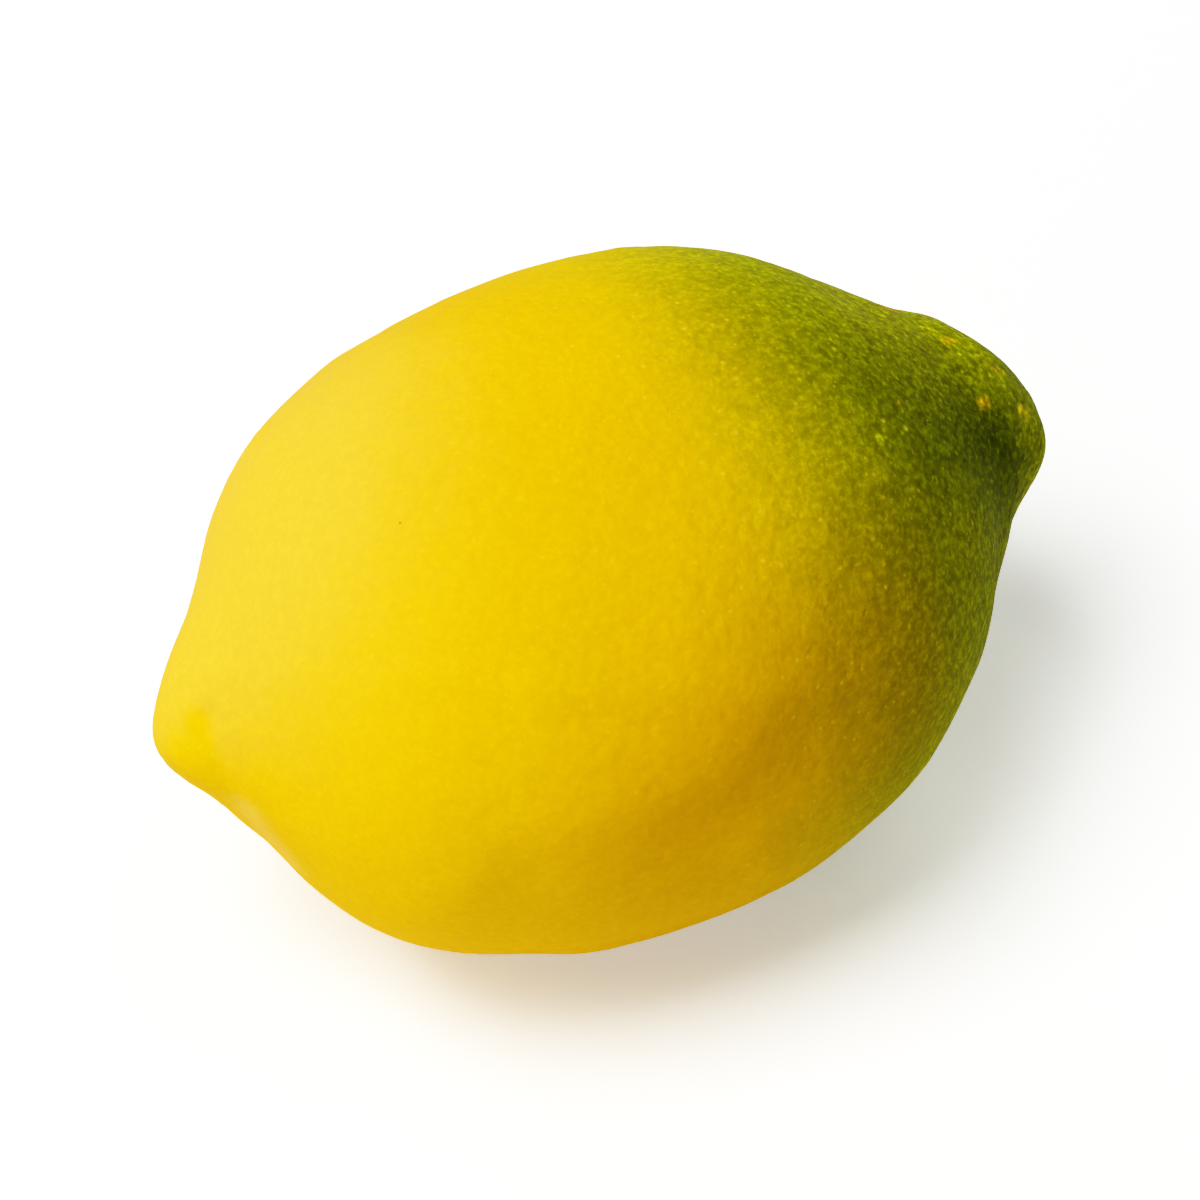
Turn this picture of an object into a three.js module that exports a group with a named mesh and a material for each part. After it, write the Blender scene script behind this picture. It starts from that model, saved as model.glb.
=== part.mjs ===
// A whole lemon, half ripened, lying on its side. Millimetres, +Z up.
// The nipple points to -X, and the blunt green neck that it hung from to +X.
// The origin is in the middle of the flat spot that the fruit rests on.

import * as THREE from 'three';
import { mergeVertices } from 'three/addons/utils/BufferGeometryUtils.js';

// The fruit's own size, tip to tip and across the belly.
const LENGTH = 87.5;
const BELLY_DIAMETER = 60;

// How deep the round belly is pressed in where it rests.
const FLAT_DEPTH = 0.8;

// The outline from nipple to neck. at: place along the axis, from -1 at the nipple's tip to 1 at the neck's.
// girth: share of the belly's radius. sway: millimetres that the core bends aside there.
const STATIONS = [
  { at: -1, girth: 0, sway: 2.9 },
  { at: -0.98, girth: 0.09, sway: 2.9 },
  { at: -0.9, girth: 0.245, sway: 2.5 },
  { at: -0.84, girth: 0.36, sway: 1.4 },
  { at: -0.77, girth: 0.525, sway: 0 },
  { at: -0.68, girth: 0.69, sway: -0.2 },
  { at: -0.55, girth: 0.83, sway: 0.2 },
  { at: -0.32, girth: 0.955, sway: 0 },
  { at: 0, girth: 1, sway: -0.2 },
  { at: 0.27, girth: 0.95, sway: -0.2 },
  { at: 0.46, girth: 0.835, sway: 0 },
  { at: 0.64, girth: 0.63, sway: 0.2 },
  { at: 0.78, girth: 0.42, sway: 1.6 },
  { at: 0.88, girth: 0.315, sway: 2.2 },
  { at: 0.95, girth: 0.205, sway: 1.1 },
  { at: 0.99, girth: 0.095, sway: 0.8 },
  { at: 1, girth: 0, sway: 0.7 },
];

// The way that the core bends, as a unit vector in Y and Z.
const SWAY_SIDE = new THREE.Vector2(0.8, 0.6);

// The fruit is a cube rounded off: this many cells run along each edge of the cube.
const CELLS = 16;

// The outline goes out along one side and back along the other, so that it rounds off smoothly at both tips.
// Each point holds its place along the axis, its radius and its sway.
function makeOutline() {
  const oneSide = STATIONS.map(({ at, girth, sway }) => new THREE.Vector3(
    at * LENGTH / 2,
    girth * BELLY_DIAMETER / 2,
    sway,
  ));
  const otherSide = oneSide.slice(1, -1).reverse().map(({ x, y, z }) => new THREE.Vector3(x, -y, z));
  const outline = new THREE.CatmullRomCurve3([...oneSide, ...otherSide], true, 'centripetal');
  outline.arcLengthDivisions = 2000;
  return outline;
}

// The point of the peel that lies in a given direction from the middle of the fruit. The angle from the nipple
// says how far to go along the outline, whose second half is the other side.
function peelPoint(direction, outline) {
  const shareFromNipple = Math.acos(-direction.x) / Math.PI;
  const { x, y: radius, z: sway } = outline.getPointAt(shareFromNipple / 2);
  const around = new THREE.Vector2(direction.y, direction.z).normalize();
  return new THREE.Vector3(
    x,
    around.x * radius + SWAY_SIDE.x * sway,
    around.y * radius + SWAY_SIDE.y * sway,
  );
}

function makeFruit() {
  const cube = new THREE.BoxGeometry(2, 2, 2, CELLS, CELLS, CELLS);
  cube.deleteAttribute('normal');
  cube.deleteAttribute('uv');
  const geometry = mergeVertices(cube, 1e-6);
  const position = geometry.attributes.position;
  const outline = makeOutline();
  const spaceEvenly = (c) => Math.tan(c * Math.PI / 4);
  const direction = new THREE.Vector3();
  for (let i = 0; i < position.count; i += 1) {
    direction.fromBufferAttribute(position, i);
    direction.set(...direction.toArray().map(spaceEvenly)).normalize();
    position.setXYZ(i, ...peelPoint(direction, outline).toArray());
  }
  return geometry;
}

// Presses the lowest part of the belly flat, and moves the fruit to stand with that spot on the origin.
function pressFlat(geometry) {
  geometry.computeBoundingBox();
  const { min, max } = geometry.boundingBox;
  const floor = min.z + FLAT_DEPTH;
  const position = geometry.attributes.position;
  for (let i = 0; i < position.count; i += 1) {
    position.setZ(i, Math.max(position.getZ(i), floor));
  }
  geometry.translate(-(min.x + max.x) / 2, -(min.y + max.y) / 2, -floor);
}

const fruit = makeFruit();
pressFlat(fruit);
fruit.computeVertexNormals();

const peel = new THREE.MeshStandardMaterial({ color: 0xe6bd02, roughness: 0.45, metalness: 0 });
const lemon = new THREE.Mesh(fruit, peel);
lemon.name = 'lemon';

const group = new THREE.Group();
group.add(lemon);

export default group;
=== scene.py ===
# A whole lemon, half ripe, lying on a pale table.
import math

import bmesh
import bpy
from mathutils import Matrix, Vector


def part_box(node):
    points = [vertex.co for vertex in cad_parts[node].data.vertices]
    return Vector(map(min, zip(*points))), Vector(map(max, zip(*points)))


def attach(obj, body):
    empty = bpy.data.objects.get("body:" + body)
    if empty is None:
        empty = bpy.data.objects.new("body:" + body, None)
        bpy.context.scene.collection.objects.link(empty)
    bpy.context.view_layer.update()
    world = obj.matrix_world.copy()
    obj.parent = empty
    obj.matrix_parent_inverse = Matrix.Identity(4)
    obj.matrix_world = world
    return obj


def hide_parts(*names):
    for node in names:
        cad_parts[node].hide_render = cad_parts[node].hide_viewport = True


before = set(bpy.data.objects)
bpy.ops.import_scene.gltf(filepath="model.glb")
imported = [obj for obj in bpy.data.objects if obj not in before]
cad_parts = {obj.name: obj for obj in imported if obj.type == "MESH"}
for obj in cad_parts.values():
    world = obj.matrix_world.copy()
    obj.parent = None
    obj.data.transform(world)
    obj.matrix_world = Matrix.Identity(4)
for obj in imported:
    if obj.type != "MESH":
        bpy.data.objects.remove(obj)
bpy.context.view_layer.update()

scene = bpy.context.scene


# --- The camera -------------------------------------------------------------------------------------------
# It stands half a metre off with a long lens and looks down on the fruit's near side, so that the nipple
# comes forward on the left and the green neck goes back on the right.

CAMERA_AZIMUTH = math.radians(-28.75)
CAMERA_ELEVATION = math.radians(50)
CAMERA_DISTANCE = 0.534
LENS_MM = 180
SENSOR_MM = 36
AIM_FROM_MIDDLE = Vector((-0.0012, 0.0001, -0.0005))

fruit_low, fruit_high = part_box("lemon")
fruit_middle = (Vector(fruit_low) + Vector(fruit_high)) / 2
towards_camera = Vector((
    math.sin(CAMERA_AZIMUTH) * math.cos(CAMERA_ELEVATION),
    -math.cos(CAMERA_AZIMUTH) * math.cos(CAMERA_ELEVATION),
    math.sin(CAMERA_ELEVATION),
))
camera_data = bpy.data.cameras.new("camera")
camera_data.lens = LENS_MM
camera_data.sensor_width = SENSOR_MM
camera_data.clip_start = 0.01
camera = bpy.data.objects.new("camera", camera_data)
camera.location = fruit_middle + AIM_FROM_MIDDLE + towards_camera * CAMERA_DISTANCE
camera.rotation_mode = "QUATERNION"
camera.rotation_quaternion = (-towards_camera).to_track_quat("-Z", "Y")
scene.collection.objects.link(camera)
scene.camera = camera


# --- The fruit's body -------------------------------------------------------------------------------------
# One lemon, grown in one piece: a firm peel over pith and flesh. Its flank bulges along one segment, a crease
# runs down the nipple, and the stem has left a dry scar in the middle of the neck. The skin is grown smooth
# over a cage, nearly all quads, raised and sunk where the fruit is uneven, and kept level where it rests.

MM = 0.001
CAGE_ROUNDS = 4
SAME_POINT = 1e-6


def cage_of(cad_node):
    """A cage, nearly all quads, whose smoothed skin passes within 0.1 mm of a CAD node's points."""
    skin = bmesh.new()
    skin.from_mesh(cad_node.data)
    bmesh.ops.remove_doubles(skin, verts=skin.verts, dist=SAME_POINT)
    bmesh.ops.join_triangles(
        skin,
        faces=skin.faces,
        angle_face_threshold=math.pi,
        angle_shape_threshold=math.pi,
    )
    left_over = [edge for edge in skin.edges if all(len(face.verts) == 3 for face in edge.link_faces)]
    bmesh.ops.dissolve_edges(skin, edges=left_over)
    cage = bpy.data.meshes.new("lemon_peel")
    skin.to_mesh(cage)
    skin.free()

    wanted = [point.co.copy() for point in cage.vertices]
    trial = bpy.data.objects.new("cage_trial", cage)
    scene.collection.objects.link(trial)
    trial.modifiers.new("smoothed", "SUBSURF").levels = 1
    for _ in range(CAGE_ROUNDS):
        bpy.context.view_layer.update()
        smoothed = trial.evaluated_get(bpy.context.evaluated_depsgraph_get()).data
        for point, aim, reached in zip(cage.vertices, wanted, smoothed.vertices):
            point.co += aim - reached.co
        cage.update()
    bpy.data.objects.remove(trial)
    return cage


class Tree:
    """Places the nodes of one tree and joins them up."""

    def __init__(self, tree):
        self.tree = tree

    def add(self, kind, inputs=None, **settings):
        node = self.tree.nodes.new(kind)
        for name, value in settings.items():
            setattr(node, name, value)
        for socket, value in (inputs or {}).items():
            if isinstance(value, bpy.types.NodeSocket):
                self.tree.links.new(value, node.inputs[socket])
            else:
                node.inputs[socket].default_value = value
        return node

    def group(self, tree, **inputs):
        kind = "GeometryNodeGroup" if tree.type == "GEOMETRY" else "ShaderNodeGroup"
        node = self.tree.nodes.new(kind)
        node.node_tree = tree
        for name, value in inputs.items():
            socket = node.inputs[name.replace("_", " ")]
            if isinstance(value, bpy.types.NodeSocket):
                self.tree.links.new(value, socket)
            else:
                socket.default_value = value
        return node.outputs[0]

    def math(self, operation, *values):
        return self.add("ShaderNodeMath", dict(enumerate(values)), operation=operation).outputs[0]

    def distance(self, a, b):
        return self.add("ShaderNodeVectorMath", {0: a, 1: b}, operation="DISTANCE").outputs["Value"]

    def scaled(self, vector, size):
        node = self.add("ShaderNodeVectorMath", {0: vector, "Scale": size}, operation="SCALE")
        return node.outputs["Vector"]

    def fade(self, value, start, end, low=0.0, high=1.0):
        """Goes softly from low to high while value goes from start to end."""
        node = self.add(
            "ShaderNodeMapRange",
            {"Value": value, "From Min": start, "From Max": end, "To Min": low, "To Max": high},
            interpolation_type="SMOOTHSTEP",
        )
        return node.outputs["Result"]

    def noise(self, place, size, detail=2.0, **settings):
        inputs = {"Vector": place, "Scale": 1 / size, "Detail": detail}
        inputs.update({name.title(): value for name, value in settings.items()})
        return self.add("ShaderNodeTexNoise", inputs).outputs["Fac"]


def new_group(name, kind, inputs, outputs):
    """A node group with named sockets, its tree, its input sockets, and a call that sets an output."""
    group = bpy.data.node_groups.new(name, kind)
    for title, (socket_kind, default) in inputs.items():
        socket = group.interface.new_socket(title, in_out="INPUT", socket_type=socket_kind)
        if default is not None:
            socket.default_value = default
    for title, socket_kind in outputs.items():
        group.interface.new_socket(title, in_out="OUTPUT", socket_type=socket_kind)
    given = group.nodes.new("NodeGroupInput").outputs
    made = group.nodes.new("NodeGroupOutput").inputs

    def hand_out(title, value):
        group.links.new(value, made[title])

    return group, Tree(group), given, hand_out


swelling, t, given, hand_out = new_group(
    "Swelling",
    "GeometryNodeTree",
    {
        "Place": ("NodeSocketVector", None),
        "Reach": ("NodeSocketFloat", 0.002),
        "Rise": ("NodeSocketFloat", 0.0),
    },
    {"Rise": "NodeSocketFloat"},
)
here = t.add("GeometryNodeInputPosition").outputs[0]
hand_out("Rise", t.fade(t.distance(here, given["Place"]), 0.0, given["Reach"], given["Rise"], 0.0))

fold, t, given, hand_out = new_group(
    "Fold",
    "GeometryNodeTree",
    {
        "Start": ("NodeSocketVector", None),
        "Middle": ("NodeSocketVector", None),
        "End": ("NodeSocketVector", None),
        "Reach": ("NodeSocketFloat", 0.002),
        "Rise": ("NodeSocketFloat", 0.0),
    },
    {"Rise": "NodeSocketFloat"},
)
arc = t.add("GeometryNodeCurveQuadraticBezier", {n: given[n] for n in ("Start", "Middle", "End")})
line = t.add("GeometryNodeCurveToMesh", {"Curve": arc.outputs[0]})
from_line = t.add("GeometryNodeProximity", {0: line.outputs[0]}, target_element="EDGES").outputs["Distance"]
hand_out("Rise", t.fade(from_line, 0.0, given["Reach"], given["Rise"], 0.0))

# Lumps and dents of the grown skin, from the nipple's shoulder round to the nipple's tip: where, how far each
# spreads, and how far it stands out, in millimetres.
SWELLINGS = [
    ((-37.4, 10.6, 34.8), 6.0, 0.12),
    ((-24.9, 19.1, 44.9), 2.5, 0.30),
    ((-15.5, 23.2, 45.5), 5.0, 0.22),
    ((-12.4, 20.7, 49.7), 3.0, 0.15),
    ((10.9, 18.3, 51.3), 3.5, 0.20),
    ((27.3, 5.9, 48.1), 6.0, -0.20),
    ((35.7, 5.5, 41.2), 4.5, 0.12),
    ((39.0, 6.0, 38.4), 5.5, -0.42),
    ((41.6, -4.4, 31.7), 4.0, 0.40),
    ((34.0, -12.0, 28.8), 5.0, 0.40),
    ((23.5, -21.5, 22.0), 6.0, -0.20),
    ((12.0, -24.9, 15.6), 8.0, -0.32),
    ((-1.3, -29.9, 27.5), 4.5, 0.15),
    ((-0.7, -29.5, 23.5), 2.6, 0.15),
    ((-19.5, -20.6, 12.0), 6.0, -0.30),
    ((-38.3, -2.1, 22.9), 4.5, 0.18),
    ((-40.4, 3.2, 36.8), 1.4, -0.24),
    ((-40.1, -0.8, 36.6), 1.8, -0.26),
]
# The crest along one segment in two lengths, the two shallow valleys below it and the nipple's crease: start,
# bend, end, spread and height, in millimetres.
FOLDS = [
    ((-39.0, 2.7, 38.4), (-28.6, -16.7, 51.9), (-14.1, -21.7, 47.8), 2.5, 0.08),
    ((-18.0, -19.7, 48.0), (-3.1, -27.4, 46.0), (12.0, -26.8, 38.8), 3.6, 0.18),
    ((10.0, -26.5, 38.5), (-1.0, -34.8, 27.5), (-24.0, -23.5, 22.5), 9.0, -0.32),
    ((1.5, -28.6, 37.6), (-6.0, -31.0, 31.0), (-21.2, -25.9, 30.6), 7.0, -0.36),
    ((-40.2, -0.9, 36.4), (-40.9, -3.9, 33.0), (-39.7, -4.6, 28.0), 2.4, -0.25),
]
# The slow unevenness of the whole skin.
WAVE_LENGTH = 14 * MM
WAVE_HEIGHT = 0.5 * MM
# The glands' pits: a pit's floor and edge, as shares of the way to the next one.
PORE_FLOOR = 0.1
PORE_EDGE = 0.6
NECK_END = Vector((43.75, 0.72, 29.74))
# The scar's parts, as shares of its radius and depth: the pit's floor, the button that the stem leaves in it,
# and the raised rim round it.
PIT_FLOOR = 0.55
BUTTON_REACH = 0.6
BUTTON_HEIGHT = 0.6
RIM_PLACE = 1.25
RIM_REACH = 0.5
RIM_HEIGHT = 0.3

relief_tree, t, given, hand_out = new_group(
    "Peel Relief",
    "GeometryNodeTree",
    {
        "Cage": ("NodeSocketGeometry", None),
        "Halvings": ("NodeSocketInt", 1),
        "Resting Margin": ("NodeSocketFloat", 0.001),
        "Gland Spacing": ("NodeSocketFloat", 0.001),
        "Gland Depth": ("NodeSocketFloat", 0.0),
        "Scar Radius": ("NodeSocketFloat", 0.002),
        "Scar Depth": ("NodeSocketFloat", 0.0),
        "Peel": ("NodeSocketMaterial", None),
    },
    {"Fruit": "NodeSocketGeometry"},
)
smooth_skin = t.add("GeometryNodeSubdivisionSurface", {"Mesh": given["Cage"], "Level": given["Halvings"]})
here = t.add("GeometryNodeInputPosition").outputs[0]
outward = t.add("GeometryNodeInputNormal").outputs["Normal"]
off_table = t.fade(t.add("ShaderNodeSeparateXYZ", {0: here}).outputs["Z"], 0.0, given["Resting Margin"])

rise = t.math("MULTIPLY", t.math("SUBTRACT", t.noise(here, WAVE_LENGTH), 0.5), WAVE_HEIGHT)
for place, reach, height in SWELLINGS:
    lump = t.group(swelling, Place=Vector(place) * MM, Reach=reach * MM, Rise=height * MM)
    rise = t.math("ADD", rise, lump)
for start, bend, end, reach, height in FOLDS:
    crease = t.group(
        fold,
        Start=Vector(start) * MM,
        Middle=Vector(bend) * MM,
        End=Vector(end) * MM,
        Reach=reach * MM,
        Rise=height * MM,
    )
    rise = t.math("ADD", rise, crease)

gland_place = t.scaled(here, t.math("DIVIDE", 1.0, given["Gland Spacing"]))
gland = t.add("ShaderNodeTexVoronoi", {"Vector": gland_place, "Scale": 1.0}, feature="SMOOTH_F1")
pore = t.fade(gland.outputs["Distance"], PORE_FLOOR, PORE_EDGE, given["Gland Depth"], 0.0)
rise = t.math("SUBTRACT", rise, pore)

from_end = t.distance(here, NECK_END * MM)
pit = t.fade(from_end, t.math("MULTIPLY", given["Scar Radius"], PIT_FLOOR), given["Scar Radius"], 1.0, 0.0)
rise = t.math("SUBTRACT", rise, t.math("MULTIPLY", pit, given["Scar Depth"]))
button_reach = t.math("MULTIPLY", given["Scar Radius"], BUTTON_REACH)
button = t.fade(from_end, 0.0, button_reach, given["Scar Depth"], 0.0)
rise = t.math("ADD", rise, t.math("MULTIPLY", button, BUTTON_HEIGHT))
rim_radius = t.math("MULTIPLY", given["Scar Radius"], RIM_PLACE)
from_rim = t.math("ABSOLUTE", t.math("SUBTRACT", from_end, rim_radius))
rim = t.fade(from_rim, 0.0, t.math("MULTIPLY", given["Scar Radius"], RIM_REACH), given["Scar Depth"], 0.0)
rise = t.math("ADD", rise, t.math("MULTIPLY", rim, RIM_HEIGHT))

offset = t.scaled(outward, t.math("MULTIPLY", rise, off_table))
raised = t.add("GeometryNodeSetPosition", {"Geometry": smooth_skin.outputs[0], "Offset": offset})
place = t.add("ShaderNodeSeparateXYZ", {0: here}).outputs
level = t.add("ShaderNodeCombineXYZ", {0: place["X"], 1: place["Y"], 2: t.math("MAXIMUM", place["Z"], 0.0)})
moved = t.add("GeometryNodeSetPosition", {"Geometry": raised.outputs[0], "Position": level.outputs[0]})
shaded = t.add("GeometryNodeSetShadeSmooth", {"Geometry": moved.outputs[0]})
real = t.add("GeometryNodeRealizeInstances", {"Geometry": shaded.outputs[0]})
finished = t.add("GeometryNodeSetMaterial", {"Geometry": real.outputs[0], "Material": given["Peel"]})
hand_out("Fruit", finished.outputs[0])


# --- The peel's finish ------------------------------------------------------------------------------------
# Satin waxy peel, ripe yellow from the nipple over the belly. It is still olive over the last third and dark
# green on the neck, finely sprinkled with painted glints as pale cream dots, with a few yellow and orange
# dots. The colour is laid on in order: ripeness, blushes with a painted sheen, a painted warm shade and
# painted light among them, spots and streaks with one painted reflection, then the grain with its painted
# glints over them and the dry brown of the scar.

dots, s, given, hand_out = new_group(
    "Scattered Dots",
    "ShaderNodeTree",
    {
        "Place": ("NodeSocketVector", None),
        "Spacing": ("NodeSocketFloat", 0.004),
        "Radius": ("NodeSocketFloat", 0.0002),
        "Shift": ("NodeSocketFloat", 0.0),
    },
    {"Mask": "NodeSocketFloat"},
)
shifted = s.add("ShaderNodeVectorMath", {0: given["Place"], 1: given["Shift"]}, operation="ADD").outputs[0]
cell_place = s.scaled(shifted, s.math("DIVIDE", 1.0, given["Spacing"]))
cell = s.add("ShaderNodeTexVoronoi", {"Vector": cell_place, "Scale": 1.0})
luck = s.add("ShaderNodeSeparateColor", {0: cell.outputs["Color"]}).outputs["Red"]
edge = s.math("MULTIPLY", s.math("DIVIDE", given["Radius"], given["Spacing"]), s.math("ADD", luck, 0.4))
hand_out("Mask", s.fade(cell.outputs["Distance"], s.math("MULTIPLY", edge, 0.3), edge, 1.0, 0.0))

streak, s, given, hand_out = new_group(
    "Streak",
    "ShaderNodeTree",
    {
        "Place": ("NodeSocketVector", None),
        "Start": ("NodeSocketVector", None),
        "End": ("NodeSocketVector", None),
        "Radius": ("NodeSocketFloat", 0.0005),
        "Ragged": ("NodeSocketFloat", 0.0),
    },
    {"Mask": "NodeSocketFloat"},
)
run = s.add("ShaderNodeVectorMath", {0: given["End"], 1: given["Start"]}, operation="SUBTRACT").outputs[0]
gone = s.add("ShaderNodeVectorMath", {0: given["Place"], 1: given["Start"]}, operation="SUBTRACT").outputs[0]
done = s.add("ShaderNodeVectorMath", {0: gone, 1: run}, operation="DOT_PRODUCT").outputs["Value"]
whole = s.add("ShaderNodeVectorMath", {0: run, 1: run}, operation="DOT_PRODUCT").outputs["Value"]
share = s.math("MINIMUM", s.math("MAXIMUM", s.math("DIVIDE", done, whole), 0.0), 1.0)
from_line = s.math("ADD", s.distance(gone, s.scaled(run, share)), given["Ragged"])
hand_out("Mask", s.fade(from_line, given["Radius"], s.math("MULTIPLY", given["Radius"], 0.1)))

RIPE_YELLOW = (0.865, 0.532, 0.0, 1)
PALE_OLIVE = (0.57, 0.59, 0.004, 1)
PAINTED_GLINT_CREAM = (0.95, 0.75, 0.08, 1)
SCAR_DARK = (0.10, 0.06, 0.02, 1)
SCAR_TAN = (0.42, 0.29, 0.12, 1)

# How far along the fruit it turns from ripe to unripe.
UNRIPE_FROM = -6 * MM
UNRIPE_TO = 27 * MM
# Where the peel is paler, deeper or still green, and where a painted sheen, a painted warm shade and painted
# light
# lie: the middle of each, its outer and inner edge in millimetres, its colour and its strength.
BLUSHES_AND_PAINTED_LIGHT = [
    # Painted sheen: a paler, faintly whitish yellow over the upper left of the nipple end, standing in for a
    # broad soft highlight.
    ((-33.0, 14.0, 46.0), 33, 13, (0.865, 0.548, 0.063, 1), 1.0),
    ((11.0, -22.0, 40.0), 22, 0, (0.46, 0.22, 0.002, 1), 0.48),
    # Painted warm shade: a deeper orange over the lower belly, where it turns away from the light.
    ((-8.0, -28.5, 36.0), 17, 2, (0.84, 0.41, 0.0, 1), 0.26),
    ((15.5, -29.0, 23.0), 11, 2, (0.34, 0.38, 0.001, 1), 0.28),
    ((18.0, -1.0, 37.0), 29, 8.5, (0.166, 0.200, 0.001, 1), 1.0),
    ((33.5, -9.0, 38.0), 10.5, 1.5, (0.155, 0.185, 0.001, 1), 1.0),
    ((30.0, -19.5, 35.0), 15, 2, (0.48, 0.51, 0.003, 1), 0.74),
    ((41.0, -3.0, 36.5), 8, 2, (0.45, 0.49, 0.003, 1), 0.28),
    ((27.5, 6.8, 48.5), 19, 2, (0.58, 0.58, 0.002, 1), 0.66),
    ((12.5, -20.0, 49.0), 9, 1, (0.30, 0.27, 0.001, 1), 0.22),
    ((25.0, -19.5, 38.5), 7, 1, (0.50, 0.47, 0.003, 1), 0.30),
    # Painted light: a paler yellow that lifts the shade in the valley under the nipple.
    ((-37.0, -8.5, 31.0), 7, 1, (0.90, 0.56, 0.003, 1), 1.0),
]
# Single round spots: where, radius in millimetres, and colour.
SPOTS = [
    ((19.6, -12.1, 51.4), 0.78, (0.69, 0.72, 0.0, 1)),
    ((23.1, -10.7, 49.6), 0.42, (0.78, 0.76, 0.045, 1)),
    ((21.0, -10.4, 51.4), 0.36, (0.76, 0.68, 0.05, 1)),
    ((26.5, -6.9, 48.3), 0.35, (0.50, 0.55, 0.05, 1)),
    ((23.8, -8.2, 50.1), 0.30, (0.50, 0.36, 0.01, 1)),
    ((26.4, -9.3, 47.3), 0.22, (0.03, 0.04, 0.0, 1)),
    ((38.7, -3.8, 37.7), 0.22, (0.03, 0.04, 0.0, 1)),
    ((-22.3, -3.4, 54.9), 0.18, (0.45, 0.30, 0.0, 1)),
]
# Single streaks: from where to where, half their width in millimetres, and colour.
STREAKS = [
    ((34.8, -4.8, 40.9), (35.5, -4.4, 40.2), 0.95, (0.73, 0.54, 0.01, 1)),
    ((39.4, -4.3, 36.8), (40.3, -3.9, 35.6), 1.0, (0.92, 0.82, 0.015, 1)),
    ((35.0, 1.9, 42.4), (35.8, 2.3, 41.8), 0.9, (0.65, 0.51, 0.01, 1)),
    ((38.3, -1.0, 39.8), (39.3, -0.8, 38.8), 1.0, (0.62, 0.56, 0.02, 1)),
    ((31.2, 6.7, 44.0), (32.6, 7.1, 43.0), 1.1, (0.60, 0.46, 0.01, 1)),
    ((-40.8, 0.0, 35.6), (-41.2, -2.4, 32.6), 1.9, (0.875, 0.545, 0.0, 1)),
    ((-42.0, -0.8, 32.6), (-40.6, -4.4, 30.2), 3.7, (0.885, 0.555, 0.0, 1)),
    # Painted reflection: a pale peach band low by the nipple, standing in for light thrown back by the table.
    ((-39.0, -5.2, 27.8), (-36.4, -7.0, 20.5), 3.2, (0.90, 0.575, 0.082, 1)),
    ((-5.2, -26.1, 43.6), (-4.3, -26.4, 43.2), 0.15, (0.90, 0.58, 0.03, 1)),
    ((-36.0, -10.9, 30.4), (-35.5, -12.1, 29.6), 0.15, (0.92, 0.64, 0.04, 1)),
]

# The full-coloured core of a spot, as a share of its radius.
SPOT_CORE = 0.3
# How far the edges wander: the size of the waves and their whole height, for the turn from ripe to unripe,
# for the ragged edge of the blushes, and for the spots and streaks.
DRIFT_SIZE = 16 * MM
DRIFT_REACH = 6 * MM
RAGGED_SIZE = 2.2 * MM
RAGGED_REACH = 5 * MM
EDGE_SIZE = 0.5 * MM
EDGE_REACH = 0.4 * MM
# The grain: flecks, soft clouds and bright dots, faint on the ripe end and strong on the unripe end; the
# bright dots are painted glints, also tinted cream by a share. Each has its size and strength. A mean is
# taken off the flecks and the dots, so that they darken as well as lighten.
GRAIN_END = 32 * MM
GRAIN_RIPE = 0.055
GRAIN_UNRIPE = 0.70
GRAIN_CONTRAST = 1.35
FLECK_SIZE = 0.6 * MM
FLECK_STRENGTH = 0.60
FLECK_MEAN = 0.23
CLOUD_SIZE = 1.2 * MM
CLOUD_STRENGTH = 0.9
BRIGHT_DOT_SPACING = 0.95 * MM
BRIGHT_DOT_RADIUS = 0.23 * MM
BRIGHT_DOT_STRENGTH = 0.62
BRIGHT_DOT_MEAN = 0.045
BRIGHT_DOT_GLINT_SHARE = 0.12
# Pale dots of painted glint over the whole peel, fainter towards the nipple.
PALE_DOT_SPACING = 1.35 * MM
PALE_DOT_RADIUS = 0.24 * MM
PALE_DOT_RIPE = 0.16
PALE_DOT_UNRIPE = 0.45
# The scar's brown stops short of its rim, with a ragged edge.
SCAR_OUTER = 2.3 * MM
SCAR_INNER = 1.6 * MM
SCAR_RAGGED = 2.5
# The gloss: how rough the peel is, how much rougher where the grain is light, and how rough the dry scar is.
PEEL_ROUGHNESS = 0.5
GRAIN_ROUGHNESS = 0.15
SCAR_ROUGHNESS = 0.9
# The fine pimples in the gloss, flatter towards the nipple.
PIMPLE_SIZE = 0.8 * MM
PIMPLE_HEIGHT = 0.13 * MM
PIMPLE_RIPE = 0.2

peel = bpy.data.materials.new("waxy_peel")
peel.use_nodes = True
s = Tree(peel.node_tree)
surface = peel.node_tree.nodes["Principled BSDF"]
here = s.add("ShaderNodeTexCoord").outputs["Object"]


def mixed(amount, first, second):
    """One colour laid over another by an amount from 0 to 1."""
    return s.add("ShaderNodeMix", {0: amount, 6: first, 7: second}, data_type="RGBA").outputs[2]


def waver(size, reach, **settings):
    """A wandering of plus and minus half of reach."""
    return s.math("MULTIPLY", s.math("SUBTRACT", s.noise(here, size, **settings), 0.5), reach)


along = s.add("ShaderNodeSeparateXYZ", {0: here}).outputs["X"]
drift = waver(DRIFT_SIZE, DRIFT_REACH)
ragged = s.math("ADD", drift, waver(RAGGED_SIZE, RAGGED_REACH))
unripe = s.fade(s.math("ADD", along, drift), UNRIPE_FROM, UNRIPE_TO)
colour = mixed(unripe, RIPE_YELLOW, PALE_OLIVE)
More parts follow.
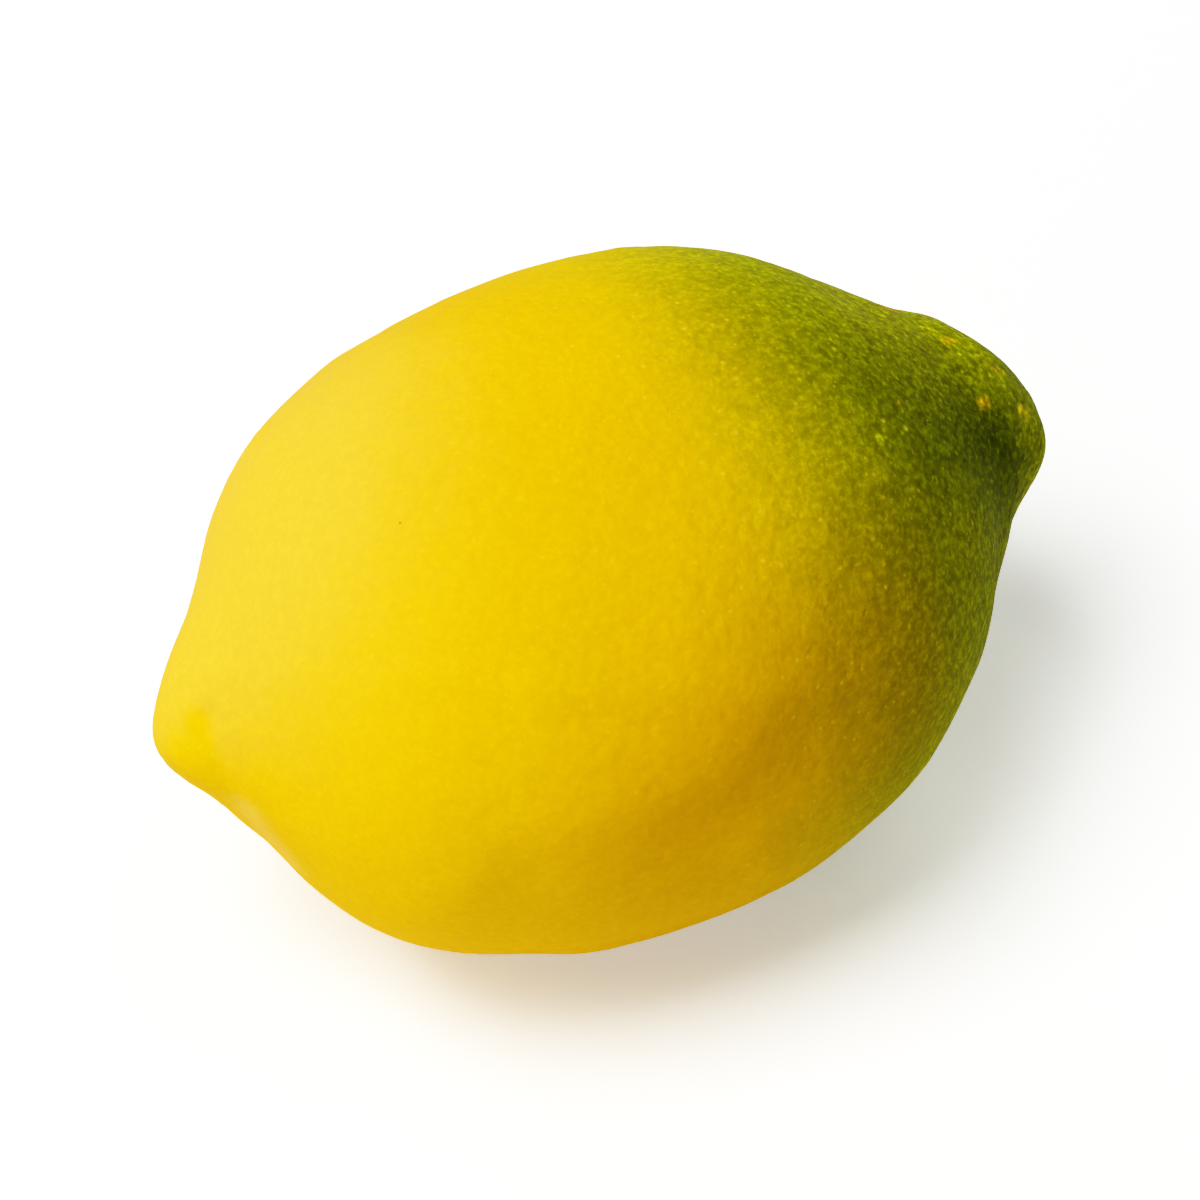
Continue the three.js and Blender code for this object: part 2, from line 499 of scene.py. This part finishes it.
# The blushes, and the painted sheen, painted shade and painted light among them, are laid on alike.
for place, outer, inner, blush_and_light_colour, strength in BLUSHES_AND_PAINTED_LIGHT:
    from_blush_and_light = s.math("ADD", s.distance(here, Vector(place) * MM), ragged)
    blush_and_light = s.fade(from_blush_and_light, outer * MM, inner * MM, 0.0, strength)
    colour = mixed(blush_and_light, colour, blush_and_light_colour)
spot_edge = waver(EDGE_SIZE, EDGE_REACH)
for place, radius, spot_colour in SPOTS:
    from_spot = s.math("ADD", s.distance(here, Vector(place) * MM), spot_edge)
    colour = mixed(s.fade(from_spot, radius * MM, SPOT_CORE * radius * MM), colour, spot_colour)
for start, end, radius, streak_colour in STREAKS:
    mark = s.group(
        streak,
        Place=here,
        Start=Vector(start) * MM,
        End=Vector(end) * MM,
        Radius=radius * MM,
        Ragged=s.math("MULTIPLY", spot_edge, min(radius, 1.0)),
    )
    colour = mixed(mark, colour, streak_colour)

speckled = s.fade(s.math("ADD", along, drift), 0.0, GRAIN_END, GRAIN_RIPE, GRAIN_UNRIPE)
flecks = s.fade(s.noise(here, FLECK_SIZE, roughness=0.8), 0.40, 0.72)
clouds = waver(CLOUD_SIZE, CLOUD_STRENGTH, detail=1.0)
bright_dots = s.group(dots, Place=here, Spacing=BRIGHT_DOT_SPACING, Radius=BRIGHT_DOT_RADIUS, Shift=0.5)
grain = s.math("ADD", clouds, s.math("MULTIPLY_ADD", flecks, FLECK_STRENGTH, -FLECK_MEAN))
grain = s.math("ADD", grain, s.math("MULTIPLY_ADD", bright_dots, BRIGHT_DOT_STRENGTH, -BRIGHT_DOT_MEAN))
contrast = s.math("MULTIPLY", speckled, GRAIN_CONTRAST)
colour = s.scaled(colour, s.math("MULTIPLY_ADD", grain, contrast, 1.0))
# Painted glints: the bright dots are also tinted cream, more on the unripe end.
glint_share = s.math("MULTIPLY", speckled, BRIGHT_DOT_GLINT_SHARE)
colour = mixed(s.math("MULTIPLY", bright_dots, glint_share), colour, PAINTED_GLINT_CREAM)
# Painted glints: pale cream dots over the whole peel.
pale_dots = s.group(dots, Place=here, Spacing=PALE_DOT_SPACING, Radius=PALE_DOT_RADIUS, Shift=0.1)
pale_share = s.fade(along, -15 * MM, 12 * MM, PALE_DOT_RIPE, PALE_DOT_UNRIPE)
colour = mixed(s.math("MULTIPLY", pale_dots, pale_share), colour, PAINTED_GLINT_CREAM)

from_end = s.distance(here, NECK_END * MM)
scar_edge = s.math("ADD", from_end, s.math("MULTIPLY", spot_edge, SCAR_RAGGED))
scar = s.fade(scar_edge, SCAR_OUTER, SCAR_INNER)
colour = mixed(scar, colour, mixed(flecks, SCAR_DARK, SCAR_TAN))
s.tree.links.new(colour, surface.inputs["Base Color"])
satin = s.math("MULTIPLY_ADD", grain, GRAIN_ROUGHNESS, PEEL_ROUGHNESS)
dry = s.math("MULTIPLY", scar, SCAR_ROUGHNESS)
s.tree.links.new(s.math("MAXIMUM", satin, dry), surface.inputs["Roughness"])
surface.inputs["Specular IOR Level"].default_value = 0.014
pimple_share = s.fade(along, -25 * MM, 20 * MM, PIMPLE_RIPE, 1.0)
pimples = s.math("MULTIPLY", s.noise(here, PIMPLE_SIZE, detail=1.0), pimple_share)
bump = s.add("ShaderNodeBump", {"Strength": 0.8, "Distance": PIMPLE_HEIGHT, "Height": pimples})
s.tree.links.new(bump.outputs[0], surface.inputs["Normal"])

lemon_peel = bpy.data.objects.new("lemon_peel", cage_of(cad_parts["lemon"]))
scene.collection.objects.link(lemon_peel)
relief = lemon_peel.modifiers.new("Peel Relief", "NODES")
relief.node_group = relief_tree
RELIEF_SIZES = {
    "Halvings": 3,
    "Resting Margin": 4 * MM,
    "Gland Spacing": 1.2 * MM,
    "Gland Depth": 0.05 * MM,
    "Scar Radius": 2.0 * MM,
    "Scar Depth": 0.6 * MM,
    "Peel": peel,
}
for socket in relief_tree.interface.items_tree:
    if socket.in_out == "INPUT" and socket.name in RELIEF_SIZES:
        relief[socket.identifier] = RELIEF_SIZES[socket.name]
bpy.context.view_layer.update()
grown = bpy.data.meshes.new_from_object(lemon_peel.evaluated_get(bpy.context.evaluated_depsgraph_get()))
lemon_peel.modifiers.clear()
lemon_peel.data = grown
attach(lemon_peel, "root")
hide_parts("lemon")


# --- The table --------------------------------------------------------------------------------------------
# A plain pale table top, painted matt white with a faint tooth. It glows a little for the camera and lights
# nothing, and the room behind it is just as white, so its far edge does not show in a low view.

TABLE_HALF = 1.2
TABLE_GLOW = 0.6
TABLE_WHITE = (0.9, 0.9, 0.9, 1)
TOOTH_SIZE = 1.5 * MM

table_mesh = bpy.data.meshes.new("table")
table_corners = [(x * TABLE_HALF, y * TABLE_HALF, 0) for x, y in ((-1, -1), (1, -1), (1, 1), (-1, 1))]
table_mesh.from_pydata(table_corners, [], [(0, 1, 2, 3)])
table = bpy.data.objects.new("table", table_mesh)
scene.collection.objects.link(table)
table_paint = bpy.data.materials.new("table_paint")
table_paint.use_nodes = True
paint_nodes = Tree(table_paint.node_tree)
paint = table_paint.node_tree.nodes["Principled BSDF"]
tooth = paint_nodes.noise(paint_nodes.add("ShaderNodeTexCoord").outputs["Object"], TOOTH_SIZE)
paint.inputs["Base Color"].default_value = TABLE_WHITE
paint_roughness = paint_nodes.fade(tooth, 0.3, 0.7, 0.72, 0.88)
table_paint.node_tree.links.new(paint_roughness, paint.inputs["Roughness"])
paint.inputs["Emission Color"].default_value = (1, 1, 1, 1)
looked_at = paint_nodes.add("ShaderNodeLightPath").outputs["Is Camera Ray"]
glow = paint_nodes.math("MULTIPLY", looked_at, TABLE_GLOW)
table_paint.node_tree.links.new(glow, paint.inputs["Emission Strength"])
table_paint.cycles.emission_sampling = "NONE"
table_mesh.materials.append(table_paint)


# --- The light --------------------------------------------------------------------------------------------
# One large softbox high on the left, and three dimmer ones that lift the back edge, the nipple and the
# shade. The room itself gives no light, and is only seen as a pale background.

LIGHT_DISTANCE = 2.5
SOFTBOXES = [
    # name, azimuth and elevation in degrees, width in metres, watts
    ("high_left", 180, 68, 1.4, 97),
    ("low_back", 90, 12, 1.0, 31),
    ("low_left", 195, 12, 1.0, 31),
    ("high_right", 0, 68, 1.4, 12),
]
for name, azimuth, elevation, width, watts in SOFTBOXES:
    azimuth = math.radians(azimuth)
    elevation = math.radians(elevation)
    direction = Vector((
        math.cos(elevation) * math.cos(azimuth),
        math.cos(elevation) * math.sin(azimuth),
        math.sin(elevation),
    ))
    lamp = bpy.data.lights.new(name, "AREA")
    lamp.size = width
    lamp.energy = watts
    softbox = bpy.data.objects.new(name, lamp)
    softbox.location = fruit_middle + direction * LIGHT_DISTANCE
    softbox.rotation_mode = "QUATERNION"
    softbox.rotation_quaternion = (-direction).to_track_quat("-Z", "Y")
    scene.collection.objects.link(softbox)

ROOM_WHITE = 3.0
room = bpy.data.worlds.new("room")
room.use_nodes = True
room_nodes = Tree(room.node_tree)
looked_at = room_nodes.add("ShaderNodeLightPath").outputs["Is Camera Ray"]
backdrop = room.node_tree.nodes["Background"]
room.node_tree.links.new(room_nodes.math("MULTIPLY", looked_at, ROOM_WHITE), backdrop.inputs["Strength"])
backdrop.inputs["Color"].default_value = (1, 1, 1, 1)
scene.world = room


# --- The print --------------------------------------------------------------------------------------------
# The picture is developed with strong contrast: the shade deepens, and the highlights roll off softly.

PRINT_WHITE = 1.06
PRINT_CONTRAST = 1.6
PRINT_RANGE = 4.0

scene.view_settings.view_transform = "Standard"
scene.view_settings.use_curve_mapping = True
tone = scene.view_settings.curve_mapping
tone.clip_max_x = PRINT_RANGE
tone.clip_max_y = 2
curve = tone.curves[3]
curve.points[0].location = (0, 0)
curve.points[1].location = (PRINT_RANGE, PRINT_WHITE)
for light in (0.05, 0.1, 0.2, 0.35, 0.5, 0.7, 0.9, 1.1, 1.4, 1.7, 2.0, 2.5, 3.0):
    curve.points.new(light, PRINT_WHITE * (1 - math.exp(-((light / PRINT_WHITE) ** PRINT_CONTRAST))))
tone.update()
